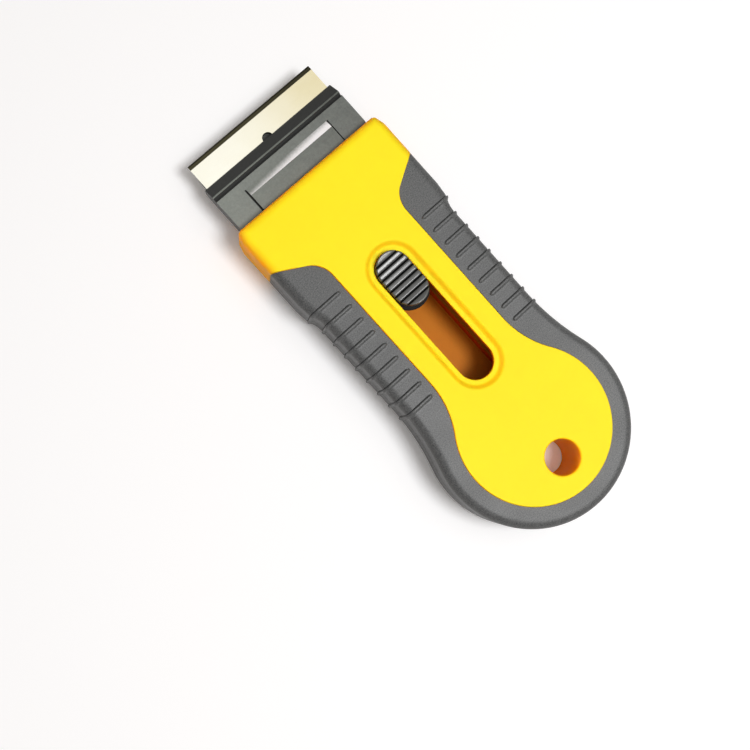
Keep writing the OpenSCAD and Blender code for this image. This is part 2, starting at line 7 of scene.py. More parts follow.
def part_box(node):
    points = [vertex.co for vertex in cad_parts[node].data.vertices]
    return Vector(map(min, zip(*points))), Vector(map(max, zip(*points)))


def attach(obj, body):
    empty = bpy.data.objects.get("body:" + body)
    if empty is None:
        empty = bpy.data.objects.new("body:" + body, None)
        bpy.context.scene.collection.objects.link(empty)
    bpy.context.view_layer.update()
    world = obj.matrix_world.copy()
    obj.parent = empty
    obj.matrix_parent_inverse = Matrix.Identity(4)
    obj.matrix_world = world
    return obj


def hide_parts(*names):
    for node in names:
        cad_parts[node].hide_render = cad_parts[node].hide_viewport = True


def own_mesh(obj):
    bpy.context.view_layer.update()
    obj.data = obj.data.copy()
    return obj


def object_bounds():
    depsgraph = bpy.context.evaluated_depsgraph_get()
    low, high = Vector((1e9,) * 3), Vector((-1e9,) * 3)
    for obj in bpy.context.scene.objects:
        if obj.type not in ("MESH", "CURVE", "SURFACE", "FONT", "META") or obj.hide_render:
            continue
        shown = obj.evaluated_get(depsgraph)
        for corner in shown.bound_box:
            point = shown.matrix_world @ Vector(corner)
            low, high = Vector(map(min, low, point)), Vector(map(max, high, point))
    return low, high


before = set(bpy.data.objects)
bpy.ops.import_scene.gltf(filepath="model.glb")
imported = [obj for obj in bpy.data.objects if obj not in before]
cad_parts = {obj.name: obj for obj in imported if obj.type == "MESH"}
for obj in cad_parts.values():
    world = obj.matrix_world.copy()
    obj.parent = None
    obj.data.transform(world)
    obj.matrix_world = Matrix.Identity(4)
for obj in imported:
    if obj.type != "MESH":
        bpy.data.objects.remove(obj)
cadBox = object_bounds()
mm = 0.001          # sizes below are in millimetres, Blender works in metres
scene = bpy.context.scene


def boxOf(node):
    low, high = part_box(node)
    return low / mm, high / mm


# camera at the photograph's angle
view = {
    "at": (-55.0, 52.6, 261.5),
    "aim": (-19.8, 45.6, 8.0),
    "up": (0.6657, 0.7428, 0.0721),
    "lens": 49.46,
    "sensor": 36.0,
    "nearest": 10.0,
}
cameraData = bpy.data.cameras.new("photoCamera")
cameraData.lens = view["lens"]
cameraData.sensor_width = view["sensor"]
cameraData.clip_start = view["nearest"] * mm
cameraObject = bpy.data.objects.new("photoCamera", cameraData)
scene.collection.objects.link(cameraObject)
backAxis = (Vector(view["at"]) - Vector(view["aim"])).normalized()
rightAxis = Vector(view["up"]).cross(backAxis).normalized()
upAxis = backAxis.cross(rightAxis)
turn = Matrix((rightAxis, upAxis, backAxis)).transposed().to_4x4()
cameraObject.matrix_world = Matrix.Translation(Vector(view["at"]) * mm) @ turn
scene.camera = cameraObject
scene.view_settings.view_transform = "Standard"
print("camera set")


# colours and shader nodes
def hexLinear(code):
    parts = [int(code[i:i + 2], 16) / 255 for i in (1, 3, 5)]
    return tuple(c / 12.92 if c <= 0.04045 else ((c + 0.055) / 1.055) ** 2.4 for c in parts) + (1.0,)


def addNode(tree, kind, values=None, links=None, **settings):
    node = tree.nodes.new(kind)
    for name, value in settings.items():
        setattr(node, name, value)
    for socket, value in (values or {}).items():
        node.inputs[socket].default_value = value
    for socket, source in (links or {}).items():       # a node stands for its first output in use
        if isinstance(source, bpy.types.Node):
            source = next(output for output in source.outputs if output.enabled)
        tree.links.new(source, node.inputs[socket])
    return node


def emptyTree(owner):          # of a new material or world
    owner.use_nodes = True
    owner.node_tree.nodes.clear()
    return owner.node_tree


def startMaterial(name):
    material = bpy.data.materials.new(name)
    tree = emptyTree(material)
    return material, tree, addNode(tree, "ShaderNodeTexCoord").outputs["Object"]


def endMaterial(material, tree, base, rough, bump, values, links=None, **settings):
    shader = addNode(tree, "ShaderNodeBsdfPrincipled", values,
                     {"Base Color": base, "Roughness": rough, "Normal": bump, **(links or {})}, **settings)
    addNode(tree, "ShaderNodeOutputMaterial", links={"Surface": shader})
    return material


def perMm(size):
    return 1 / (size * mm)      # pattern scale for a feature of this many millimetres


# ABS, injection moulded with a light satin polish: a saturated yellow with amber painted on edges and walls
# as shade, where the spread under the skin is also wider and leans to red, with a faint grain; a browner
# copy goes inside
def yellowAbsMoulded(name, face, faceWarm, paintedShadeAmber, glow, wallGlow=None):
    look = {
        "cloud": 22.0, "grain": 0.35, "grainDepth": 0.05, "spread": 1.5, "wallSpread": 4.0,
        "level": 0.985, "steep": 0.5,          # the normal's upward part where amber starts and is full
        "smoothest": 0.46, "roughest": 0.58, "reachOfRgb": (1.0, 0.35, 0.05),
    }
    material, tree, place = startMaterial(name)
    cloud = addNode(tree, "ShaderNodeTexNoise", {"Scale": perMm(look["cloud"]), "Detail": 2.0},
                    {"Vector": place})
    plain = addNode(tree, "ShaderNodeMix", {"A": hexLinear(face), "B": hexLinear(faceWarm)},
                    {"Factor": cloud}, data_type="RGBA")
    surface = addNode(tree, "ShaderNodeNewGeometry")
    facing = addNode(tree, "ShaderNodeSeparateXYZ", links={"Vector": surface.outputs["Normal"]})
    upward = addNode(tree, "ShaderNodeMath", links={0: facing.outputs["Z"]}, operation="ABSOLUTE")
    wall = addNode(tree, "ShaderNodeMapRange", {"From Min": look["level"], "From Max": look["steep"]},
                   {"Value": upward})
    depth = addNode(tree, "ShaderNodeMapRange",
                    {"To Min": look["spread"] * mm, "To Max": look["wallSpread"] * mm}, {"Value": wall})
    # amber painted in where the surface turns from level towards upright: painted shade
    colour = addNode(tree, "ShaderNodeMix", {"B": hexLinear(paintedShadeAmber)}, {"Factor": wall, "A": plain},
                     data_type="RGBA")
    grain = addNode(tree, "ShaderNodeTexNoise", {"Scale": perMm(look["grain"]), "Detail": 3.0},
                    {"Vector": place})
    rough = addNode(tree, "ShaderNodeMapRange", {"To Min": look["smoothest"], "To Max": look["roughest"]},
                    {"Value": grain})
    bump = addNode(tree, "ShaderNodeBump", {"Strength": 0.05, "Distance": look["grainDepth"] * mm},
                   {"Height": grain})
    underSkin = {"Subsurface Scale": depth}
    if wallGlow:               # walls take light from the face beside them
        underSkin["Subsurface Weight"] = addNode(
            tree, "ShaderNodeMapRange", {"To Min": glow, "To Max": wallGlow}, {"Value": wall})
    return endMaterial(material, tree, colour, rough, bump,
                       {"IOR": 1.53, "Specular IOR Level": 0.1, "Subsurface Weight": glow,
                        "Subsurface Radius": look["reachOfRgb"]}, underSkin, subsurface_method="BURLEY")


# thermoplastic rubber, overmoulded against a spark-eroded tool: a dull dark grey with a fine pale speckle
# that goes quickly dark in shade and never shows a sharp highlight
def gripRubberSparked():
    look = {
        "pale": "#696a6a", "dark": "#323333", "speckle": 0.3, "speckleDepth": 0.06, "dust": 9.0,
        "darkBelow": 0.32, "paleAbove": 0.68, "smoothest": 0.42, "roughest": 0.56,
    }
    material, tree, place = startMaterial("gripRubberSparked")
    speckle = addNode(tree, "ShaderNodeTexNoise",
                      {"Scale": perMm(look["speckle"]), "Detail": 4.0, "Roughness": 0.65},
                      {"Vector": place})
    dust = addNode(tree, "ShaderNodeTexNoise", {"Scale": perMm(look["dust"]), "Detail": 3.0},
                   {"Vector": place})
    spread = addNode(tree, "ShaderNodeMapRange",
                     {"From Min": look["darkBelow"], "From Max": look["paleAbove"]}, {"Value": speckle})
    base = addNode(tree, "ShaderNodeMix", {"A": hexLinear(look["dark"]), "B": hexLinear(look["pale"])},
                   {"Factor": spread}, data_type="RGBA")
    rough = addNode(tree, "ShaderNodeMapRange", {"To Min": look["smoothest"], "To Max": look["roughest"]},
                    {"Value": dust})
    bump = addNode(tree, "ShaderNodeBump", {"Strength": 0.4, "Distance": look["speckleDepth"] * mm},
                   {"Height": speckle})
    return endMaterial(material, tree, base, rough, bump, {"IOR": 1.5, "Specular IOR Level": 0.55})


# glass-filled nylon, injection moulded: near black where the tool was polished and a greenish grey where it
# was spark-eroded;
# the near black is painted shade on slopes, sides and grooves, the paler grey painted sheen on level faces,
# and a third copy has a white highlight painted up the pad's ramp
def carrierNylonMoulded(name, pale, dark, rough, specular, rampHighlight=None):
    look = {
        "fleck": 0.6, "fleckDepth": 0.04, "flow": 4.0, "streak": 0.5, "roughSpan": 0.15,
        "paleX": -20.0, "paleMost": 0.5, "darkX": 20.0, "paleLeast": 0.02,
        "highlightFromX": -16.0, "highlightFullX": 10.0, "ragged": 0.35, "raggedLess": -0.17,
        "highlightFrom": 0.5, "highlightFull": 1.7,
    }
    material, tree, place = startMaterial(name)
    fleck = addNode(tree, "ShaderNodeTexNoise",
                    {"Scale": perMm(look["fleck"]), "Detail": 5.0, "Roughness": 0.75}, {"Vector": place})
    flow = addNode(tree, "ShaderNodeTexNoise",
                   {"Scale": perMm(look["flow"]), "Detail": 2.0, "Distortion": 1.5}, {"Vector": place})
    mottle = addNode(tree, "ShaderNodeMix", {"Factor": 0.25}, {"A": fleck, "B": flow})
    spread = addNode(tree, "ShaderNodeMapRange",
                     {"From Min": 0.25, "From Max": 0.75, "To Min": -0.05, "To Max": 0.45},
                     {"Value": mottle})
    spot = addNode(tree, "ShaderNodeSeparateXYZ", links={"Vector": place})
    # paler towards -X and darker towards +X: a painted sheen that falls off across the part
    paintedSheenSide = addNode(tree, "ShaderNodeMapRange",
                    {"From Min": look["paleX"] * mm, "From Max": look["darkX"] * mm,
                     "To Min": look["paleMost"], "To Max": look["paleLeast"]},
                    {"Value": spot.outputs["X"]})
    paleShare = addNode(tree, "ShaderNodeMath", links={0: spread, 1: paintedSheenSide})
    base = addNode(tree, "ShaderNodeMix", {"A": hexLinear(dark), "B": hexLinear(pale)},
                   {"Factor": paleShare}, data_type="RGBA")
    if rampHighlight:                  # a white highlight painted in streaks along the slide, heavier towards one side and up the ramp
        streak = addNode(tree, "ShaderNodeTexNoise", {"Scale": perMm(look["streak"]), "Detail": 4.0},
                         {"Vector": place})
        side = addNode(tree, "ShaderNodeMapRange",
                       {"From Min": look["highlightFromX"] * mm, "From Max": look["highlightFullX"] * mm},
                       {"Value": spot.outputs["X"]})
        up = addNode(tree, "ShaderNodeMapRange", {"From Min": plateZ * mm, "From Max": clampHigh.z * mm},
                     {"Value": spot.outputs["Z"]})
        both = addNode(tree, "ShaderNodeMath", links={0: side, 1: up})
        ragged = addNode(tree, "ShaderNodeMath", {1: look["ragged"], 2: look["raggedLess"]},
                         {0: streak}, operation="MULTIPLY_ADD")
        highlightMask = addNode(tree, "ShaderNodeMath", links={0: both, 1: ragged})
        share = addNode(tree, "ShaderNodeMapRange",
                        {"From Min": look["highlightFrom"], "From Max": look["highlightFull"]},
                        {"Value": highlightMask}, interpolation_type="SMOOTHSTEP")
        base = addNode(tree, "ShaderNodeMix", {"B": hexLinear(rampHighlight)}, {"Factor": share, "A": base},
                       data_type="RGBA")
    gloss = addNode(tree, "ShaderNodeMapRange", {"To Min": rough, "To Max": rough + look["roughSpan"]},
                    {"Value": flow})
    bump = addNode(tree, "ShaderNodeBump", {"Strength": 0.25, "Distance": look["fleckDepth"] * mm},
                   {"Height": fleck})
    return endMaterial(material, tree, base, gloss, bump, {"IOR": 1.53, "Specular IOR Level": specular})


# ABS, moulded and polished by thumbs: grey with bright lines along its ridges; a near black, rougher copy
# is painted as shade in the grooves, on the lip and on the foot
def buttonAbsMoulded(name, worn, deep, smoothest, specular):
    look = {"rub": 1.2, "grain": 0.3, "grainDepth": 0.03, "roughSpan": 0.12}
    material, tree, place = startMaterial(name)
    rub = addNode(tree, "ShaderNodeTexNoise", {"Scale": perMm(look["rub"]), "Detail": 4.0},
                  {"Vector": place})
    base = addNode(tree, "ShaderNodeMix", {"A": hexLinear(deep), "B": hexLinear(worn)},
                   {"Factor": rub}, data_type="RGBA")
    grain = addNode(tree, "ShaderNodeTexNoise", {"Scale": perMm(look["grain"]), "Detail": 3.0},
                    {"Vector": place})
    rough = addNode(tree, "ShaderNodeMapRange",
                    {"To Min": smoothest, "To Max": smoothest + look["roughSpan"]}, {"Value": rub})
    bump = addNode(tree, "ShaderNodeBump", {"Strength": 0.06, "Distance": look["grainDepth"] * mm},
                   {"Height": grain})
    return endMaterial(material, tree, base, rough, bump, {"IOR": 1.53, "Specular IOR Level": specular})


# carbon steel strip, rolled, ground and oiled: bright, with hair lines across its length and a straw tint
# that deepens towards one end (lines drawn 0.25 mm apart, coarser than real ones, so that they show)
def groundSteel(name, pale, straw, rough):
    look = {
        "lines": 0.25, "lineDepth": 0.02, "lineStretch": (0.05, 1.0, 1.0), "stain": 5.0,
        "strawFromX": -12.0, "strawFullX": 22.0, "roughSpan": 0.12,
    }
    material, tree, place = startMaterial(name)
    stretch = addNode(tree, "ShaderNodeMapping", {"Scale": look["lineStretch"]}, {"Vector": place})
    lines = addNode(tree, "ShaderNodeTexNoise", {"Scale": perMm(look["lines"]), "Detail": 3.0},
                    {"Vector": stretch})
    stain = addNode(tree, "ShaderNodeTexNoise", {"Scale": perMm(look["stain"]), "Detail": 4.0},
                    {"Vector": place})
    spot = addNode(tree, "ShaderNodeSeparateXYZ", links={"Vector": place})
    end = addNode(tree, "ShaderNodeMapRange",
                  {"From Min": look["strawFromX"] * mm, "From Max": look["strawFullX"] * mm},
                  {"Value": spot.outputs["X"]}, interpolation_type="SMOOTHSTEP")
    share = addNode(tree, "ShaderNodeMix", {"Factor": 0.25}, {"A": end, "B": stain})
    base = addNode(tree, "ShaderNodeMix", {"A": hexLinear(pale), "B": hexLinear(straw)},
                   {"Factor": share}, data_type="RGBA")
    gloss = addNode(tree, "ShaderNodeMapRange", {"To Min": rough, "To Max": rough + look["roughSpan"]},
                    {"Value": lines})
    bump = addNode(tree, "ShaderNodeBump", {"Strength": 0.05, "Distance": look["lineDepth"] * mm},
                   {"Height": lines})
    return endMaterial(material, tree, base, gloss, bump, {"Metallic": 1.0})


# mesh helpers, points in millimetres
weldGap = 0.0005    # points closer than this are one point
past = 1.0          # cutters reach this far beyond what they cut
bite = 0.4          # joined solids reach this far into each other
lipFlare = 1.3      # a lip's cutter opens this many lip radii beyond the face


def newPiece(name, points, faces):
    mesh = bpy.data.meshes.new(name)
    mesh.from_pydata([Vector(p) * mm for p in points], [], faces)
    shape = bmesh.new()
    shape.from_mesh(mesh)
    bmesh.ops.remove_doubles(shape, verts=shape.verts, dist=weldGap * mm)
    bmesh.ops.recalc_face_normals(shape, faces=shape.faces)
    shape.to_mesh(mesh)
    shape.free()
    piece = bpy.data.objects.new(name, mesh)
    scene.collection.objects.link(piece)
    return piece


def loft(rings):
    n, count = len(rings[0]), len(rings)
    points = [p for ring in rings for p in ring]
    faces = []
    for i in range(count - 1):
        a, b = i * n, (i + 1) * n
        faces += [(a + k, a + (k + 1) % n, b + (k + 1) % n, b + k) for k in range(n)]
    faces += [tuple(range(n)), tuple((count - 1) * n + k for k in range(n))]
    return points, faces


def prism(plan, low, high):
    return loft([[(x, y, z) for x, y in plan] for z in (low, high)])


def across(profile, halfWidth):
    return loft([[(x, y, z) for y, z in profile] for x in (-halfWidth, halfWidth)])


def block(x0, x1, y0, y1, z0, z1):
    return prism([(x0, y0), (x1, y0), (x1, y1), (x0, y1)], z0, z1)


def turns(steps, degrees=90):
    return [math.radians(degrees * i / steps) for i in range(steps + 1)]


def lipSteps(lip, steps, degrees=80):      # (outward, below the face) round a lip, from the wall up
    return [(lip * (1 - math.cos(a)), lip * (1 - math.sin(a))) for a in turns(steps, degrees)]


def arcPoints(x, y, r, start, end, steps, first=0):
    angles = [math.radians(start + (end - start) * i / steps) for i in range(first, steps + 1)]
    return [(x + r * math.cos(a), y + r * math.sin(a)) for a in angles]


def circleRing(x, y, r, z, steps=40):
    return [(px, py, z) for px, py in arcPoints(x, y, r, 0, 360, steps)[:-1]]


def disc(x, y, r, low, high, steps=40):
    return loft([circleRing(x, y, r, z, steps) for z in (low, high)])


def obroundRing(y, length, r, z, steps):   # length between the centres of its two round ends
    ends = arcPoints(0, y + length / 2, r, 0, 180, steps) + arcPoints(0, y - length / 2, r, 180, 360, steps)
    return [(px, py, z) for px, py in ends]


def carve(piece, shapes):      # shapes are (operation, points, faces)
    tools = []
    for operation, points, faces in shapes:
        tool = newPiece("tool", points, faces)
        modifier = piece.modifiers.new("carve", "BOOLEAN")
        modifier.operation = operation
        modifier.object = tool
        modifier.solver = "MANIFOLD"
        tools.append(tool)
    settle(piece)
    for tool in tools:
        bpy.data.meshes.remove(tool.data)
    return piece


def settle(piece):             # modifiers become plain mesh
    bpy.context.view_layer.update()
    solved = piece.evaluated_get(bpy.context.evaluated_depsgraph_get())
    mesh = bpy.data.meshes.new_from_object(solved)
    piece.modifiers.clear()
    old = piece.data
    piece.data = mesh
    bpy.data.meshes.remove(old)
    mesh.name = piece.name


def flatten(piece, degrees=0.6):    # joins the triangles of flat faces
    shape = bmesh.new()
    shape.from_mesh(piece.data)
    bmesh.ops.dissolve_limit(shape, angle_limit=math.radians(degrees), verts=shape.verts, edges=shape.edges)
    shape.to_mesh(piece.data)
    shape.free()


def roundEdges(piece, width, segments=3, degrees=30):
    modifier = piece.modifiers.new("round", "BEVEL")
    modifier.width = width * mm
    modifier.segments = segments
    modifier.limit_method = "ANGLE"
    modifier.angle_limit = math.radians(degrees)
    settle(piece)


def dress(piece, materials, body, nodes, sharp=32):
    piece.data.materials.clear()
    for material in materials:
        piece.data.materials.append(material)
    piece.data.shade_smooth()
    piece.data.set_sharp_from_angle(angle=math.radians(sharp))
    weighted = piece.modifiers.new("flats", "WEIGHTED_NORMAL")
    weighted.keep_sharp = True
    settle(piece)
    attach(piece, body)
    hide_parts(*nodes)
    print("piece", piece.name, len(piece.data.polygons), "faces")
    return piece


# plan of the handle, seen from above with the blade to +Y
shellHigh = boxOf("upper_shell")[1]
handle = {
    "tailR": 25.8, "tailY": 10.5, "tailBlendR": 60.0, "neckW": 44.0, "noseW": 46.4,
    "shoulderY": 62.5, "shoulderL": 6.5, "edgeR": 2.7,
    "cornerR": 1.3, "cornerTopR": 0.4, "taperL": 3.2, "taperW": 0.85, "taperBlend": 0.25,
    "wall": 0.95, "face": 2.4, "hollowR": 1.15,
    "holeR": 4.5, "holeLip": 0.5, "bossWall": 2.0,
}
panel = {
    "tailBand": 5.95, "neckW": 24.3, "filletR": 24.0, "headY": 70.6, "headR": 6.5, "headAngle": 30.0,
    "lip": 0.25, "lipSteps": 4,
}
grip = {
    "recess": 1.2, "drop": 0.4, "seamUpper": 0.05, "seamLower": 0.28, "seamLift": 0.01,
    "edgeGap": 0.1, "edgeRound": 0.09, "underGap": 0.03,
    "flushL": 4.5, "flushDepth": 0.02, "faceRun": 5.0, "faceShare": 0.85,
    "tipAt": 0.012, "yellowAhead": -0.03, "yellowSink": 0.12,
}
ridge = {          # the feet are in half widths from its middle
    "count": 9, "pitch": 4.18, "firstY": 66.3, "width": 0.8, "height": 0.4, "root": 0.15,
    "frontFoot": 1.25, "grooveFoot": 1.75, "rearFoot": 1.6, "frontPower": 6, "margin": 1.45, "tip": 0.4,
}
fine = {           # steps along each curve
    "corner": 14, "fan": 30, "blend": 26, "tail": 60, "edge": 10, "side": 3,
    "hollowCorner": 8, "hollowShoulder": 10, "hollowBlend": 16, "hollowTail": 40,
    "slotEnd": 28, "slotRim": 5, "slotSlope": 10, "hole": 64, "holeLip": 7, "mouthCorner": 6, "mouthLip": 5,
}

topZ, noseY = shellHigh.z, shellHigh.y
partZ = topZ / 2
neckHalf, noseHalf = handle["neckW"] / 2, handle["noseW"] / 2
shoulderStep = noseHalf - neckHalf
shoulderR = (handle["shoulderL"] ** 2 + shoulderStep ** 2) / (4 * shoulderStep)
shoulderAngle = 2 * math.atan(shoulderStep / handle["shoulderL"])
shoulderEnd = handle["shoulderY"] + handle["shoulderL"]
tailR, tailY, blendR = handle["tailR"], handle["tailY"], handle["tailBlendR"]
blendX = neckHalf + blendR
blendY = math.sqrt((tailR + blendR) ** 2 - blendX ** 2)
blendAngle = math.atan(blendY / blendX)
panelHalf, panelR = panel["neckW"] / 2, tailR - panel["tailBand"]
panelX = panelHalf + panel["filletR"]
panelY = math.sqrt((panelR + panel["filletR"]) ** 2 - panelX ** 2)
panelAngle = math.atan(panelY / panelX)
headAngle = math.radians(panel["headAngle"])
headX = panelHalf + panel["headR"]
tipY = (panel["headY"] + panel["headR"] * math.cos(headAngle)
        + (noseHalf - headX + panel["headR"] * math.sin(headAngle)) * math.tan(headAngle))
neckEnd = ridge["firstY"] - (ridge["count"] - 0.5) * ridge["pitch"]
taperAngle = math.atan(handle["taperW"] / handle["taperL"])
innerInset = grip["recess"] + handle["wall"]
ceilingZ = topZ - handle["face"]


def halfWidth(y, inset):
    if y >= shoulderEnd:
        return noseHalf - inset
    if y >= shoulderEnd - (shoulderR - inset) * math.sin(shoulderAngle):
        return noseHalf - shoulderR + math.sqrt((shoulderR - inset) ** 2 - (y - shoulderEnd) ** 2)
    if y >= handle["shoulderY"]:
        return neckHalf + shoulderR - math.sqrt((shoulderR + inset) ** 2 - (y - handle["shoulderY"]) ** 2)
    if y >= tailY + blendY:
        return neckHalf - inset
    if y >= tailY + (tailR - inset) * math.sin(blendAngle):
        return blendX - math.sqrt((blendR + inset) ** 2 - (y - tailY - blendY) ** 2)
    return math.sqrt((tailR - inset) ** 2 - (y - tailY) ** 2)


def panelHalfWidth(y):
    if y >= tailY + panelY:
        return panelHalf
    if y >= tailY + panelR * math.sin(panelAngle):
        return panelX - math.sqrt(panel["filletR"] ** 2 - (y - tailY - panelY) ** 2)
    return math.sqrt(panelR ** 2 - (y - tailY) ** 2)


# stations from the nose back to the tail, each (kind, place, position across a ridge in half widths)
flat = 9.0          # a position that is off every ridge


def gripStations(start):
    stations = [("fan", start + (1 - start) * i / fine["fan"], flat) for i in range(fine["fan"] + 1)]
    crossing = [1.75, 1.5, 1.25, 1.1, 0.95, 0.75, 0.45, 0.0, -0.4, -0.8, -1.2, -1.6]
    between = [0.28, 0.5, 0.72]        # shares of the pitch
    for i in range(ridge["count"]):
        centre = ridge["firstY"] - i * ridge["pitch"]
        stations += [("across", centre + u * ridge["width"] / 2, u) for u in crossing]
        stations += [("across", centre - t * ridge["pitch"], flat) for t in between]
    stations.pop()                     # the neck ends half a pitch behind the last ridge
    steps = fine["blend"]
    stations += [("across", neckEnd + (tailY - neckEnd) * i / steps, flat) for i in range(1, steps + 1)]
    stations += [("spoke", -90 * i / fine["tail"], flat) for i in range(1, fine["tail"] + 1)]
    return stations


def panelPoint(s):
    kind, place = s[0], s[1]
    if kind == "fan":
        a = math.radians(90 + panel["headAngle"] + (90 - panel["headAngle"]) * place)
        return Vector((headX + panel["headR"] * math.cos(a), panel["headY"] + panel["headR"] * math.sin(a)))
    if kind == "across":
        return Vector((panelHalfWidth(place), place))
    a = math.radians(place)
    return Vector((panelR * math.cos(a), tailY + panelR * math.sin(a)))


def planPoint(s, inset):
    kind, place = s[0], s[1]
    if kind == "corner":       # radius shrinks up the rounded edge, so that the face ends in a sharp corner
        r = handle["cornerR"] + (handle["cornerTopR"] - handle["cornerR"]) * inset / handle["edgeR"]
        a, e = math.radians(place), inset + r
        x = noseHalf - (e + (handle["taperL"] - e) * math.sin(taperAngle)) / math.cos(taperAngle)
        return Vector((x + r * math.cos(a), noseY - e + r * math.sin(a)))
    if kind == "taper":        # where the facet meets the straight side
        y = noseY - handle["taperL"] - inset * math.tan(taperAngle / 2) - place
        return Vector((noseHalf - inset, y))
    if kind == "fan":
        q, y = panelPoint(s), tipY + (panel["headY"] - tipY) * place
        return Vector((noseHalf - inset, y + (q.y - y) * inset / (noseHalf - q.x)))
    if kind == "across":
        return Vector((halfWidth(place, inset), place))
    a = math.radians(place)
    return Vector(((tailR - inset) * math.cos(a), tailY + (tailR - inset) * math.sin(a)))


def lifted(p, z):
    return (p.x, p.y, z)


def skin(s, depth):            # up the side and over the rounded edge, at a depth below the outside
    edgeR = handle["edgeR"]
    edgeZ, r, rows = topZ - edgeR, edgeR - depth, fine["side"]
    sides = [lifted(planPoint(s, depth), partZ + (edgeZ - partZ) * i / rows) for i in range(rows)]
    return sides + [lifted(planPoint(s, edgeR - r * math.cos(a)), edgeZ + r * math.sin(a))
                    for a in turns(fine["edge"])]


def bothSides(columns):        # the last column lies on the centre line
    return columns + [[(-x, y, z) for x, y, z in c] for c in columns[-2::-1]]


def smooth(t):
    t = min(1.0, max(0.0, t))
    return t * t * (3 - 2 * t)


print("handle plan ready")


# yellow shells
slot = {"width": 9.5, "length": 39.3, "frontY": 66.5, "rim": 0.25, "ledge": 1.4, "depth": 1.0, "slope": 0.8}
mouth = {"halfW": 20.95, "low": 5.9, "high": 11.9, "cornerR": 0.7, "lip": 0.3, "depth": 6.6}
rail = {"width": 1.6, "x": 5.7, "ribX": 17.85, "guideZ": 11.3, "rearY": 25.35, "frontY": 67.7}
post = {
    "wall": 1.2, "shankR": 1.45, "boreTop": 11.8, "boreLow": 1.0, "pocketR": 2.75, "pocketLip": 0.3,
    "pocketPast": 0.1, "pocketZ": 3.3,
}
screwSpots = [(0.0, 17.0), (-15.0, 54.0), (15.0, 54.0)]
slotMid, slotRear = slot["frontY"] - slot["length"] / 2, slot["frontY"] - slot["length"]
floorZ = handle["face"] - bite         # where posts and rails start in the lower shell
yellowAbs = yellowAbsMoulded("yellowAbsMoulded", "#ffec24", "#fee620", "#ffb40c", 0.35, 0.9)
# a browner, darker copy with less spread under the skin for the inside: painted shade
yellowShadedInside = yellowAbsMoulded("yellowAbsPaintedShadeInside", "#cf7d18", "#c57010", "#d2540c", 0.1)


def coreColumn(s):             # under the grip, then up the edge of the bare panel
    q, lip = panelPoint(s), panel["lip"]
    inward = (q - planPoint(s, handle["edgeR"])).normalized()
    column = skin(s, grip["recess"]) + [lifted(q, topZ - grip["recess"])]
    return column + [lifted(q + inward * outward, topZ - below)
                     for outward, below in lipSteps(lip, panel["lipSteps"], 90)]


def noseColumn(s, depth, target):      # as many points as coreColumn, the last on the way to a target
    p = planPoint(s, handle["edgeR"])
    extra, share = panel["lipSteps"] + 2, 0.6
    flatPart = [lifted(p + (target - p) * share * i / extra, topZ - depth) for i in range(1, extra + 1)]
    return skin(s, depth) + flatPart


def shellOutside():
    stations = gripStations(0.0)
    tip = stations[0]
    ahead = ("fan", grip["yellowAhead"], flat)
    sweep = 90 - math.degrees(taperAngle)
    front = [("corner", 90 - sweep * i / fine["corner"], flat) for i in range(fine["corner"] + 1)]
    front += [("taper", 0.0, flat), ("taper", handle["taperBlend"], flat)]
    columns = [noseColumn(s, 0.0, Vector((0.0, panel["headY"]))) for s in front]
    columns.append(noseColumn(ahead, 0.0, panelPoint(ahead)))
    columns.append(noseColumn(tip, grip["yellowSink"], panelPoint(tip)))
    columns = bothSides(columns + [coreColumn(s) for s in stations])
    n, count = len(columns[0]), len(columns)
    points = [p for c in columns for p in c]
    faces = []
    for i in range(count):
        a, b = i * n, (i + 1) % count * n
        faces += [(a + k, b + k, b + k + 1, a + k + 1) for k in range(n - 1)]
    faces += [tuple(i * n for i in range(count)), tuple(i * n + n - 1 for i in range(count))]
    return points, faces


def hollowPlan():
    r, shoulderSteps = handle["hollowR"], fine["hollowShoulder"]
    bend, sweep = math.degrees(shoulderAngle), math.degrees(blendAngle)
    right = arcPoints(noseHalf - innerInset - r, noseY - innerInset - r, r, 90, 0, fine["hollowCorner"])
    right += arcPoints(noseHalf - shoulderR, shoulderEnd, shoulderR - innerInset, 0, -bend, shoulderSteps)
    right += arcPoints(neckHalf + shoulderR, handle["shoulderY"], shoulderR + innerInset,
                       180 - bend, 180, shoulderSteps, 1)
    right += arcPoints(blendX, tailY + blendY, blendR + innerInset, 180, 180 + sweep, fine["hollowBlend"])
    right += arcPoints(0, tailY, tailR - innerInset, sweep, -90, fine["hollowTail"], 1)
    return right + [(-x, y) for x, y in right[-2::-1]]


def slotRing(r, z):
    return obroundRing(slotMid, slot["length"] - slot["width"], r, z, fine["slotEnd"])


def slotCutter():              # slot, rounded rim, sunk ledge and the soft slope up to the face
    r, ledgeZ = slot["width"] / 2, topZ - slot["depth"]
    start, run = r + slot["ledge"] - slot["slope"] / 2, slot["slope"] * 2
    steps, slopeEnd, above = fine["slotSlope"], 0.95, 0.1
    rings = [slotRing(r, ceilingZ - past)]
    rings += [slotRing(r + grow, ledgeZ - below)
              for grow, below in lipSteps(slot["rim"], fine["slotRim"], 90)]
    for i in range(steps + 1):
        t = slopeEnd * i / steps
        rings.append(slotRing(start + run * t, ledgeZ + slot["depth"] * (1 - math.cos(math.pi * t)) / 2))
    rings.append(slotRing(start + run, topZ + above))
    return loft(rings)


def holeCutter():
    r, lip, steps, above = handle["holeR"], handle["holeLip"], fine["hole"], 0.2
    rings = [circleRing(0, 0, r, partZ - past, steps)]
    rings += [circleRing(0, 0, r + grow, topZ - below, steps)
              for grow, below in lipSteps(lip, fine["holeLip"])]
    rings.append(circleRing(0, 0, r + lipFlare * lip, topZ + above, steps))
    return loft(rings)


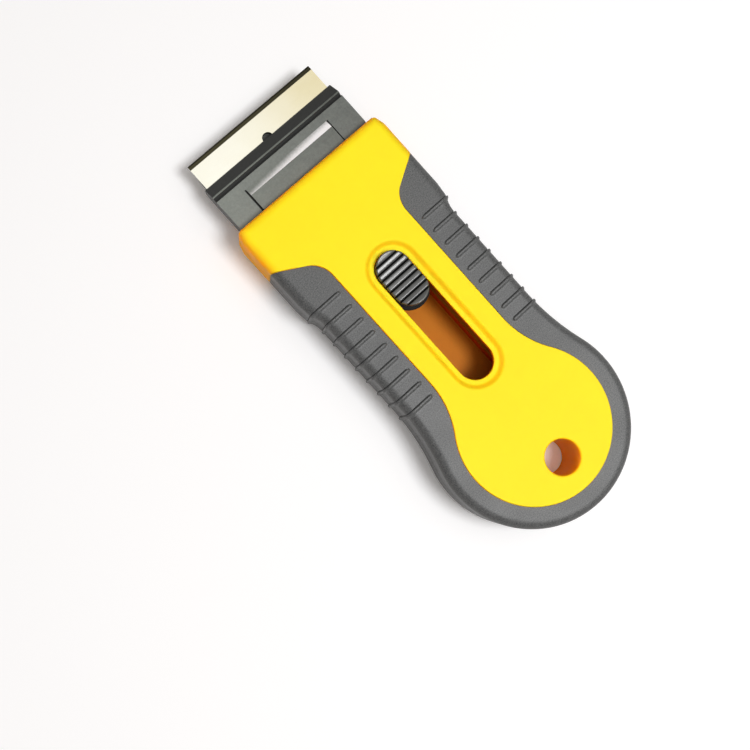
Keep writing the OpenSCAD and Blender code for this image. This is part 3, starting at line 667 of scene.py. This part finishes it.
def roundedRect(halfW, low, high, r, y):
    left, right, bottom, top = -halfW + r, halfW - r, low + r, high - r
    corners = [(right, top, 0), (left, top, 90), (left, bottom, 180), (right, bottom, 270)]
    ring = [p for x, z, a in corners for p in arcPoints(x, z, r, a, a + 90, fine["mouthCorner"])]
    return [(x, y, z) for x, z in ring]


def mouthCutter():
    lip, ahead = mouth["lip"], 0.3
    steps = [(0.0, mouth["depth"])] + lipSteps(lip, fine["mouthLip"]) + [(lipFlare * lip, -ahead)]
    return loft([roundedRect(mouth["halfW"] + grow, mouth["low"] - grow, mouth["high"] + grow,
                             mouth["cornerR"] + grow, noseY - behind) for grow, behind in steps])


def bothRails(x, y0, y1, z0, z1):
    w = rail["width"]
    return [("UNION", *block(x, x + w, y0, y1, z0, z1)), ("UNION", *block(-x - w, -x, y0, y1, z0, z1))]


def postAt(x, y, low, high):
    return ("UNION", *disc(x, y, post["pocketR"] + post["wall"], low, high))


def boreAt(x, y, radius, low, high):
    return ("DIFFERENCE", *disc(x, y, radius, low, high))


def pocketAt(x, y):            # for a screw's head, wider at its lip
    radius, lip, low = post["pocketR"], post["pocketLip"], post["pocketPast"]
    return ("DIFFERENCE", *loft([circleRing(x, y, radius + lip + low, -low), circleRing(x, y, radius, lip),
                                 circleRing(x, y, radius, post["pocketZ"])]))


def flipped(points, faces):
    return [(x, y, topZ - z) for x, y, z in points], faces


def shellCommon():
    boss = handle["holeR"] + handle["bossWall"]
    return [("DIFFERENCE", *prism(hollowPlan(), partZ - past, ceilingZ)),
            ("UNION", *disc(0, 0, boss, partZ, ceilingZ + bite, fine["hole"])),
            ("DIFFERENCE", *holeCutter())]


def paintShadeInside(shell):        # faces well within the outline and below the slot's rim get the browner copy, painted shade
    underGrip = grip["recess"] + 0.1
    for face in shell.data.polygons:
        x, y, z = face.center / mm
        depth = halfWidth(y, 0.0) - abs(x) if y > tailY else tailR - math.hypot(x, y - tailY)
        inside = depth > underGrip and y < noseY - past and min(z, topZ - z) > slot["depth"] + slot["rim"]
        if inside and math.hypot(x, y) >= handle["holeR"] + handle["holeLip"]:
            face.material_index = 1


upperSteps = shellCommon()
upperSteps += bothRails(rail["x"], slotRear, slot["frontY"], rail["guideZ"], ceilingZ + bite)
upperSteps += bothRails(rail["ribX"], shoulderEnd, noseY - past, mouth["high"], ceilingZ + bite)
upperSteps += [postAt(x, y, partZ, ceilingZ + bite) for x, y in screwSpots]
upperSteps += [boreAt(x, y, post["shankR"], partZ - past, post["boreTop"]) for x, y in screwSpots]
upperSteps += [("DIFFERENCE", *slotCutter()), ("DIFFERENCE", *mouthCutter())]
upperShell = carve(newPiece("upperShell", *shellOutside()), upperSteps)
dress(upperShell, [yellowAbs, yellowShadedInside], "handle", ["upper_shell"])
paintShadeInside(upperShell)

lowerSteps = [(operation, *flipped(points, faces)) for operation, points, faces in shellCommon()]
lowerSteps += bothRails(rail["x"], rail["rearY"], rail["frontY"], floorZ, mouth["low"])
lowerSteps += bothRails(rail["ribX"], shoulderEnd, noseY - past, floorZ, mouth["low"])
lowerSteps += [postAt(x, y, floorZ, partZ) for x, y in screwSpots]
lowerSteps += [boreAt(x, y, post["shankR"], post["boreLow"], partZ + past) for x, y in screwSpots]
lowerSteps += [pocketAt(x, y) for x, y in screwSpots]
lowerSteps += [("DIFFERENCE", *mouthCutter())]
lowerShell = carve(newPiece("lowerShell", *flipped(*shellOutside())), lowerSteps)
dress(lowerShell, [yellowAbs, yellowShadedInside], "handle", ["lower_shell"])
paintShadeInside(lowerShell)


# rubber grips
gripRubber = gripRubberSparked()


def ridgeHeight(u):            # steep in front with a groove at its root, gentle behind
    front, groove, rear = ridge["frontFoot"], ridge["grooveFoot"], ridge["rearFoot"]
    if u > groove or u < -rear:
        return 0.0
    if u > front:
        return -ridge["root"] * math.sin(math.pi * (u - front) / (groove - front))
    if u > 0:
        return ridge["height"] * (1 - (u / front) ** ridge["frontPower"])
    return ridge["height"] * (1 + math.cos(math.pi * u / rear)) / 2


def gripRing(s, seam):         # round the band, from the seam over its outside and back underneath
    u, height = min(1.0, abs(s[2])), ridgeHeight(s[2])
    edgeR, depth, rows = handle["edgeR"], grip["drop"] - height, fine["side"]
    edgeZ, low = topZ - edgeR, partZ + seam
    along = shoulderEnd - planPoint(s, 0.0).y
    sideDrop = min(grip["drop"], max(grip["flushDepth"], grip["drop"] * along / grip["flushL"]))
    sideDepth = sideDrop - height
    ring = [lifted(planPoint(s, max(sideDepth, 0.0) + seam), partZ + grip["seamLift"])]
    ring += [lifted(planPoint(s, sideDepth), low + (edgeZ - low) * i / rows) for i in range(rows)]
    for a in turns(fine["edge"]):
        inset, rise = edgeR - (edgeR - sideDepth) * math.cos(a), (edgeR - depth) * math.sin(a)
        ring.append(lifted(planPoint(s, inset), edgeZ + rise))
    q, faceZ = panelPoint(s), topZ - grip["drop"]
    gap = planPoint(s, edgeR) - q
    outward, reach = gap.normalized(), min(1.0, grip["faceShare"] * gap.length / grip["faceRun"])
    tipStart = ridge["margin"] + ridge["width"] / 2 * (1 - math.sqrt(1 - u ** 2))
    # distances from the panel's edge, closest together where the ridges end
    for distance in [grip["faceRun"], 3.6, 2.6, 2.2, 1.95, 1.75, 1.6, 1.45, 1.2, 0.7, 0.3, 0.14]:
        bump = height * smooth((distance - tipStart) / ridge["tip"])
        ring.append(lifted(q + outward * distance * reach, faceZ + bump))
    under = grip["recess"] - grip["underGap"]
    ring += [lifted(q + outward * grip["edgeGap"], z) for z in (faceZ - grip["edgeRound"], topZ - under)]
    return ring + skin(s, under)[::-1]


def gripSkin(seam):
    return loft(bothSides([gripRing(s, seam) for s in gripStations(grip["tipAt"])]))


upperGrip = newPiece("upperGrip", *gripSkin(grip["seamUpper"]))
dress(upperGrip, [gripRubber], "handle", ["upper_grip"], 40)
lowerGrip = newPiece("lowerGrip", *flipped(*gripSkin(grip["seamLower"])))
dress(lowerGrip, [gripRubber], "handle", ["lower_grip"], 40)


# blade, with a coarse ground bevel and a honed edge, which take darker copies of the steel as a painted
# dark reflection
bladeLow, bladeHigh = boxOf("razor_blade")
blade = {"bevel": 1.2, "honed": 0.4, "honedShare": 0.42, "holeR": 1.5, "holeY": 107.2, "edge": 0.03}
bladeZ, bladeTop = bladeLow.z, bladeHigh.z
bladeMid, edgeY = (bladeZ + bladeTop) / 2, bladeHigh.y
bladeSteel = groundSteel("bladeSteelGround", "#fffdf0", "#e6d9ac", 0.15)
bevelSteel = groundSteel("bevelSteelGroundPaintedDark", "#58543f", "#403d30", 0.3)
edgeSteel = groundSteel("edgeSteelHonedPaintedDark", "#3c392e", "#302e25", 0.25)


def bladeProfile():
    half = (bladeTop - bladeZ) / 2
    upper = [(bladeLow.y, half), (edgeY - blade["bevel"], half),
             (edgeY - blade["honed"], half * blade["honedShare"]), (edgeY, blade["edge"] / 2)]
    return [(y, bladeMid + z) for y, z in upper] + [(y, bladeMid - z) for y, z in upper[::-1]]


razorBlade = carve(newPiece("razorBlade", *across(bladeProfile(), bladeHigh.x)), [
    boreAt(0, blade["holeY"], blade["holeR"], bladeZ - past, bladeTop + past)])
dress(razorBlade, [bladeSteel, bevelSteel, edgeSteel], "slider", ["razor_blade"], 2)
# bevel and edge faces take the darker copies: painted dark reflection
for face in razorBlade.data.polygons:
    y = face.center.y / mm
    if y > edgeY - blade["honed"]:
        face.material_index = 2
    elif y > edgeY - blade["bevel"]:
        face.material_index = 1


# clamp on top of the blade
clampLow, clampHigh = boxOf("blade_clamp")
clamp = {
    "slope": 2.8, "lip": 0.7, "crest": 0.4, "groove": 1.2, "grooveDepth": 0.7, "grooveBottom": 0.45,
    "padHeight": 0.6, "padRoot": 0.3, "padHalf": 13.3, "padSetback": 6.6, "ramp": 2.0,
    "slit": 0.45, "slitDepth": 0.7, "waist": 0.12, "waistLength": 5.0, "waistSteps": 8,
    "rearR": 3.0, "round": 0.12, "levelFrom": 0.6, "rampFrom": 0.5, "levelSlack": 0.1, "rampLift": 0.05,
}
clampZ, headRear, headFront, headHalf = bladeHigh.z, clampLow.y, clampHigh.y, clampHigh.x
plateZ, padFront = clampHigh.z - clamp["padHeight"], headFront - clamp["padSetback"]
crestY, rampY = headFront - clamp["slope"], padFront - clamp["ramp"]
# the near black copy on slopes, sides and grooves is painted shade, the paler copy on level faces painted
# sheen
polishedShadedNylon = carrierNylonMoulded("carrierNylonPolishedPaintedShade", "#3e3f3e", "#323332", 0.4, 0.3)
sparkedSheenNylon = carrierNylonMoulded("carrierNylonSparkedPaintedSheen", "#868c84", "#3e423d", 0.42, 0.8)
# this copy carries a white highlight painted up the pad's ramp
rampHighlightNylon = carrierNylonMoulded("carrierNylonPaintedRampHighlight", "#868c84", "#3e423d", 0.42, 0.8, "#f4f2f3")


def bothHalves(right):
    return right + [(-x, y) for x, y in right[::-1]]


def headPlan():                # sides bow in a little towards the front, and the rear corners are round
    r, steps = clamp["rearR"], clamp["waistSteps"]
    right = arcPoints(headHalf - r, headRear + r, r, -90, 0, 10)
    for i in range(steps + 1):
        t = i / steps
        right.append((headHalf - clamp["waist"] * t * t, headFront - clamp["waistLength"] * (1 - t)))
    return bothHalves(right)


def clampProfile():
    grooveY, grooveZ, rearY = crestY - clamp["crest"], plateZ - clamp["grooveDepth"], headRear - past
    return [(rearY, clampZ), (headFront, clampZ), (headFront, clampZ + clamp["lip"]), (crestY, plateZ),
            (grooveY, plateZ), (grooveY - clamp["groove"] * clamp["grooveBottom"], grooveZ),
            (grooveY - clamp["groove"], plateZ), (rearY, plateZ)]


padRootZ, slitX = plateZ - clamp["padRoot"], clamp["padHalf"]
padProfile = [(headRear, padRootZ), (padFront, padRootZ), (padFront, plateZ), (rampY, clampHigh.z),
              (headRear, clampHigh.z)]
clampSteps = [("INTERSECT", *prism(headPlan(), clampZ - past, clampHigh.z + past)),
              ("UNION", *across(padProfile, clamp["padHalf"]))]
clampSteps += [("DIFFERENCE", *block(x, x + clamp["slit"], headRear - past, padFront,
                                     plateZ - clamp["slitDepth"], topZ))
               for x in (slitX, -slitX - clamp["slit"])]
bladeClamp = carve(newPiece("bladeClamp", *across(clampProfile(), headHalf + past)), clampSteps)
flatten(bladeClamp)
roundEdges(bladeClamp, clamp["round"])
dress(bladeClamp, [polishedShadedNylon, sparkedSheenNylon, rampHighlightNylon], "slider", ["blade_clamp"])
for face in bladeClamp.data.polygons:
    x, y, z = face.center / mm
    onRamp = rampY < y < padFront and z > plateZ + clamp["rampLift"] and abs(x) < clamp["padHalf"]
    onPlate = y < crestY + clamp["levelSlack"] and z > plateZ - clamp["levelSlack"]
    if onRamp and face.normal.z > clamp["rampFrom"]:
        face.material_index = 2        # the pad's front ramp, which takes the painted white highlight
    elif onPlate and face.normal.z > clamp["levelFrom"]:
        face.material_index = 1        # level top and the crest in front of the groove take the paler copy, painted sheen with a painted highlight on the crest; other faces keep the near black copy, painted shade


# carrier under the blade, with the tongue that shows in the slot
carrierLow, carrierHigh = boxOf("blade_carrier")
carrier = {
    "tongueHalf": 7.3, "tailCut": 2.3, "tailHalf": 2.0, "tailL": 6.4, "gussetHalf": 15.0, "gussetL": 5.6,
    "gussetIn": 4.0, "jawTip": 0.77, "jawIn": 2.0, "socket": 1.2, "fitGap": 0.02, "sideGap": 0.05,
    "round": 0.15, "levelFrom": 0.95,
}
carrierZ, tongueTop, jawY = carrierLow.z, carrierHigh.z, carrierHigh.y
tongueY, jawRootY = carrierLow.y + carrier["tailCut"], headFront - carrier["jawIn"]
seatZ, underClampZ = bladeZ - carrier["fitGap"], clampZ - carrier["fitGap"]
bedHalf = bladeHigh.x + carrier["sideGap"]
tonguePlan = bothHalves([
    (carrier["tailHalf"], tongueY), (carrier["tongueHalf"], tongueY + carrier["tailL"]),
    (carrier["tongueHalf"], headRear - carrier["gussetL"]), (carrier["gussetHalf"], headRear),
    (carrier["gussetHalf"], headRear + carrier["gussetIn"])])
topPlan = [(x, min(y, headRear - carrier["sideGap"])) for x, y in tonguePlan if y <= headRear]
jawProfile = [(jawRootY, carrierZ), (headFront, carrierZ), (jawY, bladeZ - carrier["jawTip"]),
              (jawY, seatZ), (jawRootY, seatZ)]
bladeCarrier = carve(newPiece("bladeCarrier", *prism(headPlan(), carrierZ, underClampZ)), [
    ("UNION", *prism(tonguePlan, carrierZ, underClampZ)),
    ("UNION", *prism(topPlan, carrierZ, tongueTop)),
    ("UNION", *across(jawProfile, bladeHigh.x)),
    ("DIFFERENCE", *block(-bedHalf, bedHalf, bladeLow.y - carrier["sideGap"], jawY + past, seatZ, clampZ)),
    boreAt(0, blade["holeY"], blade["holeR"], bladeZ - carrier["socket"], bladeTop),
])
flatten(bladeCarrier)
roundEdges(bladeCarrier, carrier["round"])
dress(bladeCarrier, [polishedShadedNylon, sparkedSheenNylon], "slider", ["blade_carrier"])
for face in bladeCarrier.data.polygons:
    if face.normal.z > carrier["levelFrom"] and face.center.y < headRear * mm:
        face.material_index = 1        # top of the tongue takes the paler copy, painted sheen


# thumb button, dished along its length with ridges across
buttonLow, buttonHigh = boxOf("thumb_button")
button = {
    "width": 9.0, "length": 15.0, "crown": 17.3, "dish": 1.2, "round": 0.45,
    "ribs": 9, "ribDepth": 0.75, "ribPower": 4.2, "grooveFrom": 0.74, "grooveFacing": 0.1,
    "lipZ": 12.2, "lipW": 0.75, "lipT": 1.1, "lipSteps": 24, "skirtIn": 0.2, "shadeAboveLip": 0.6,
    "rowsPerRib": 20, "columns": 40,
}
buttonY = (buttonLow.y + buttonHigh.y) / 2
lipZ, lipTop = button["lipZ"], button["lipZ"] + button["lipT"]
buttonAbs = buttonAbsMoulded("buttonAbsPolished", "#5f605e", "#4b4c4a", 0.24, 0.7)
# near black copy painted as shade in the grooves, on the lip and on the foot
buttonShade = buttonAbsMoulded("buttonAbsPaintedShade", "#1a1a19", "#121211", 0.6, 0.15)


def offRidge(y):               # 0 on top of a ridge, 1 in the groove beside it
    if abs(y) > button["length"] / 2 * (1 - 1 / button["ribs"]):
        return 0.0             # the end ridges run out level
    return abs(2 * ((y / button["length"] + 0.5) * button["ribs"] % 1.0) - 1)


def buttonTop(y):              # y from the middle of the button
    dishR = ((button["length"] / 2) ** 2 + button["dish"] ** 2) / (2 * button["dish"])
    valley = button["ribDepth"] * offRidge(y) ** button["ribPower"]
    return button["crown"] - button["dish"] + dishR - math.sqrt(dishR ** 2 - y ** 2) - valley


def buttonBody(foot):          # the ridged cap, and a straight skirt from its rim down to the foot
    half, r, edge = button["length"] / 2, button["width"] / 2, button["round"]
    rows, columns = button["ribs"] * button["rowsPerRib"], button["columns"]
    points, faces = [], []
    for i in range(rows + 1):
        y = -half + 2 * half * i / rows
        over = max(0.0, abs(y) - (half - r))
        w = math.sqrt(max(0.0, r * r - over * over))
        for k in range(columns + 1):
            x = w * math.sin(math.pi * (k / columns - 0.5))
            cut = max(0.0, edge - (r - math.sqrt(x * x + over * over)))
            drop = edge - math.sqrt(max(0.0, edge ** 2 - cut * cut))
            points.append((x, buttonY + y, buttonTop(y) - drop))
    n = columns + 1
    for i in range(rows):
        faces += [(i * n + k, i * n + k + 1, (i + 1) * n + k + 1, (i + 1) * n + k) for k in range(columns)]
    rim = [i * n + columns for i in range(rows)] + [i * n for i in range(rows, 0, -1)]
    first, count = len(points), len(rim)
    points += [(points[k][0], points[k][1], foot) for k in rim]
    faces += [(rim[k], rim[(k + 1) % count], first + (k + 1) % count, first + k) for k in range(count)]
    return points, faces + [tuple(range(first, first + count))]


thumbButton = carve(newPiece("thumbButton", *buttonBody(lipZ + button["skirtIn"])), [("UNION", *loft([
    obroundRing(buttonY, button["length"] - button["width"], button["width"] / 2 + button["lipW"], z,
                button["lipSteps"]) for z in (lipZ, lipTop)]))])
dress(thumbButton, [buttonAbs, buttonShade], "button", ["thumb_button"], 50)
for face in thumbButton.data.polygons:
    inGroove = offRidge(face.center.y / mm - buttonY) > button["grooveFrom"]
    upward = face.normal.z > button["grooveFacing"]
    if inGroove and upward or face.center.z < (lipTop + button["shadeAboveLip"]) * mm:
        face.material_index = 1        # painted shade: grooves, lip and foot take the near black copy


# case screws, pan heads with a cross recess
screw = {
    "headR": 2.7, "headZ": 1.4, "headRound": 0.7, "seatZ": 3.3, "shankR": 1.4, "endZ": 11.3,
    "crossW": 0.75, "crossL": 3.2, "crossDepth": 1.1,
}
screwNodes = {
    "tailScrew": "tail_screw", "neck_leftScrew": "neck_screw_left", "neck_rightScrew": "neck_screw_right",
}
screwZinc = groundSteel("screwSteelZincPlated", "#b4b8bd", "#94989e", 0.28)


def screwShape(x, y):
    r, high = screw["headRound"], screw["headZ"] + screw["headRound"]
    profile = [(screw["shankR"], screw["endZ"]), (screw["shankR"], screw["seatZ"]),
               (screw["headR"], screw["seatZ"])]
    profile += [(screw["headR"] - r * (1 - math.cos(a)), high - r * math.sin(a)) for a in turns(4, 80)]
    return loft([circleRing(x, y, radius, z) for radius, z in profile])


for (name, node), (x, y) in zip(screwNodes.items(), screwSpots):
    half, long = screw["crossW"] / 2, screw["crossL"] / 2
    low, high = screw["headZ"] - past, screw["headZ"] + screw["crossDepth"]
    piece = carve(newPiece(name, *screwShape(x, y)), [
        ("DIFFERENCE", *block(x - half, x + half, y - long, y + long, low, high)),
        ("DIFFERENCE", *block(x - long, x + long, y - half, y + half, low, high))])
    dress(piece, [screwZinc], "handle", [node])


# bowed strip under the button, with an ear on each side
springLow, springHigh = boxOf("detent_spring")
leaf = {
    "width": 6, "thick": 0.3, "earLength": 2, "earSink": 0.02, "steps": 24, "round": 0.04, "press": 0.85,
}
springY, earHalf = (springLow.y + springHigh.y) / 2, leaf["earLength"] / 2
springTall = springHigh.z - springLow.z
springSteel = groundSteel("springSteelRolled", "#a8a8a6", "#8c8c8a", 0.3)


def leafProfile():
    half, rise = (springHigh.y - springLow.y) / 2, springTall - leaf["thick"]
    bowR = (half ** 2 + rise ** 2) / (2 * rise)
    outerR, z = bowR + leaf["thick"], springLow.z + rise - bowR
    sweep = math.degrees(math.asin(half / outerR))
    top = arcPoints(springY, z, outerR, 90 - sweep, 90 + sweep, leaf["steps"])
    return top + arcPoints(springY, z, bowR, 90 + sweep, 90 - sweep, leaf["steps"])


detentSpring = carve(newPiece("detentSpring", *across(leafProfile(), leaf["width"] / 2)), [
    ("UNION", *block(springLow.x, springHigh.x, springY - earHalf, springY + earHalf,
                     springHigh.z - leaf["thick"], springHigh.z - leaf["earSink"]))])
roundEdges(detentSpring, leaf["round"], 2)
dress(detentSpring, [springSteel], "slider", ["detent_spring"])
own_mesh(detentSpring)


# pale floor that keeps the shadow, and soft studio light (floor, lamps and distances in metres)
studio = {
    "floorColour": "#fefeff", "floorBounce": "#b2aaa2", "floorGlow": 0.08, "floorSize": 4.0,
    "floorDrop": 0.00005,
    "keyFrom": (0.14, -0.30, 0.94), "keySize": 0.25, "keyPower": 3.4, "keyColour": "#ffffff",
    "fillFrom": (-0.72, 0.65, 0.24), "fillSize": 0.5, "fillPower": 2.4, "fillColour": "#ffdfc0",
    "lampDistance": 0.75, "skyCentre": (0.1, -0.14, 1.0), "skyFades": 0.95, "skyEnds": 0.72,
    "skyTop": 1.05, "skyTopColour": "#ffffff", "skyLow": 0.14, "skyLowColour": "#fff0e2",
    "backdrop": 0.36, "backdropColour": "#fffdfa",
}


def seenRays(tree):            # 1 for what the eye, a mirror or glass sees, 0 for light that bounces
    path = addNode(tree, "ShaderNodeLightPath")
    mirrored = addNode(tree, "ShaderNodeMath", operation="MAXIMUM",
                       links={0: path.outputs["Is Glossy Ray"], 1: path.outputs["Is Transmission Ray"]})
    return addNode(tree, "ShaderNodeMath", operation="MAXIMUM",
                   links={0: path.outputs["Is Camera Ray"], 1: mirrored})


# paper, uncoated and matt: an even white with soft shadows, which throws a greyer light back
def floorPaperMatt():
    material = bpy.data.materials.new("floorPaperMatt")
    tree = emptyTree(material)
    seen = seenRays(tree)
    paper = addNode(tree, "ShaderNodeMix",
                    {"A": hexLinear(studio["floorBounce"]), "B": hexLinear(studio["floorColour"])},
                    {"Factor": seen}, data_type="RGBA")
    matt = addNode(tree, "ShaderNodeBsdfDiffuse", links={"Color": paper})
    glowOn = addNode(tree, "ShaderNodeMath", {1: studio["floorGlow"]}, {0: seen}, operation="MULTIPLY")
    glow = addNode(tree, "ShaderNodeEmission", links={"Strength": glowOn})
    both = addNode(tree, "ShaderNodeAddShader", links={0: matt, 1: glow})
    addNode(tree, "ShaderNodeOutputMaterial", links={"Surface": both})
    return material


floorHalf = studio["floorSize"] / 2 / mm
floorCorners = [(-floorHalf, -floorHalf, 0), (floorHalf, -floorHalf, 0), (floorHalf, floorHalf, 0),
                (-floorHalf, floorHalf, 0)]
floor = newPiece("floor", floorCorners, [(0, 1, 2, 3)])
floor.location.z = -studio["floorDrop"]
floor.data.materials.append(floorPaperMatt())

middle = (cadBox[0] + cadBox[1]) / 2


def addSoftbox(name, direction, size, power, colour, only=()):
    data = bpy.data.lights.new(name, "AREA")
    data.shape, data.size, data.energy, data.color = "DISK", size, power, hexLinear(colour)[:3]
    softbox = bpy.data.objects.new(name, data)
    toward = Vector(direction).normalized()
    softbox.location = middle + toward * studio["lampDistance"]
    softbox.rotation_euler = toward.to_track_quat("Z", "Y").to_euler()
    scene.collection.objects.link(softbox)
    if only:                   # this lamp is kept off the other pieces and the floor
        lit = bpy.data.collections.new(name + "Lights")
        for piece in only:
            lit.objects.link(piece)
        softbox.light_linking.receiver_collection = lit


addSoftbox("keySoftbox", studio["keyFrom"], studio["keySize"], studio["keyPower"], studio["keyColour"])
addSoftbox("fillSoftbox", studio["fillFrom"], studio["fillSize"], studio["fillPower"], studio["fillColour"],
           [upperShell, lowerShell])

# sky bright overhead, dim and warm towards the horizon
world = bpy.data.worlds.new("softSky")
scene.world = world
tree = emptyTree(world)
seen = seenRays(tree)
direction = addNode(tree, "ShaderNodeTexCoord").outputs["Generated"]
nearness = addNode(tree, "ShaderNodeVectorMath", {1: tuple(Vector(studio["skyCentre"]).normalized())},
                   {0: direction}, operation="DOT_PRODUCT")
share = addNode(tree, "ShaderNodeMapRange", {"From Min": studio["skyEnds"], "From Max": studio["skyFades"]},
                {"Value": nearness}, interpolation_type="SMOOTHSTEP")
low = addNode(tree, "ShaderNodeMapRange", {"To Min": studio["skyLow"], "To Max": studio["backdrop"]},
              {"Value": seen})
level = addNode(tree, "ShaderNodeMapRange", {"To Max": studio["skyTop"]}, {"Value": share, "To Min": low})
lowTint = addNode(tree, "ShaderNodeMix",
                  {"A": hexLinear(studio["skyLowColour"]), "B": hexLinear(studio["backdropColour"])},
                  {"Factor": seen}, data_type="RGBA")
tint = addNode(tree, "ShaderNodeMix", {"B": hexLinear(studio["skyTopColour"])},
               {"A": lowTint, "Factor": share}, data_type="RGBA")
sky = addNode(tree, "ShaderNodeBackground", links={"Color": tint, "Strength": level})
addNode(tree, "ShaderNodeOutputWorld", links={"Surface": sky})
print("studio set, materials made:", len(bpy.data.materials))
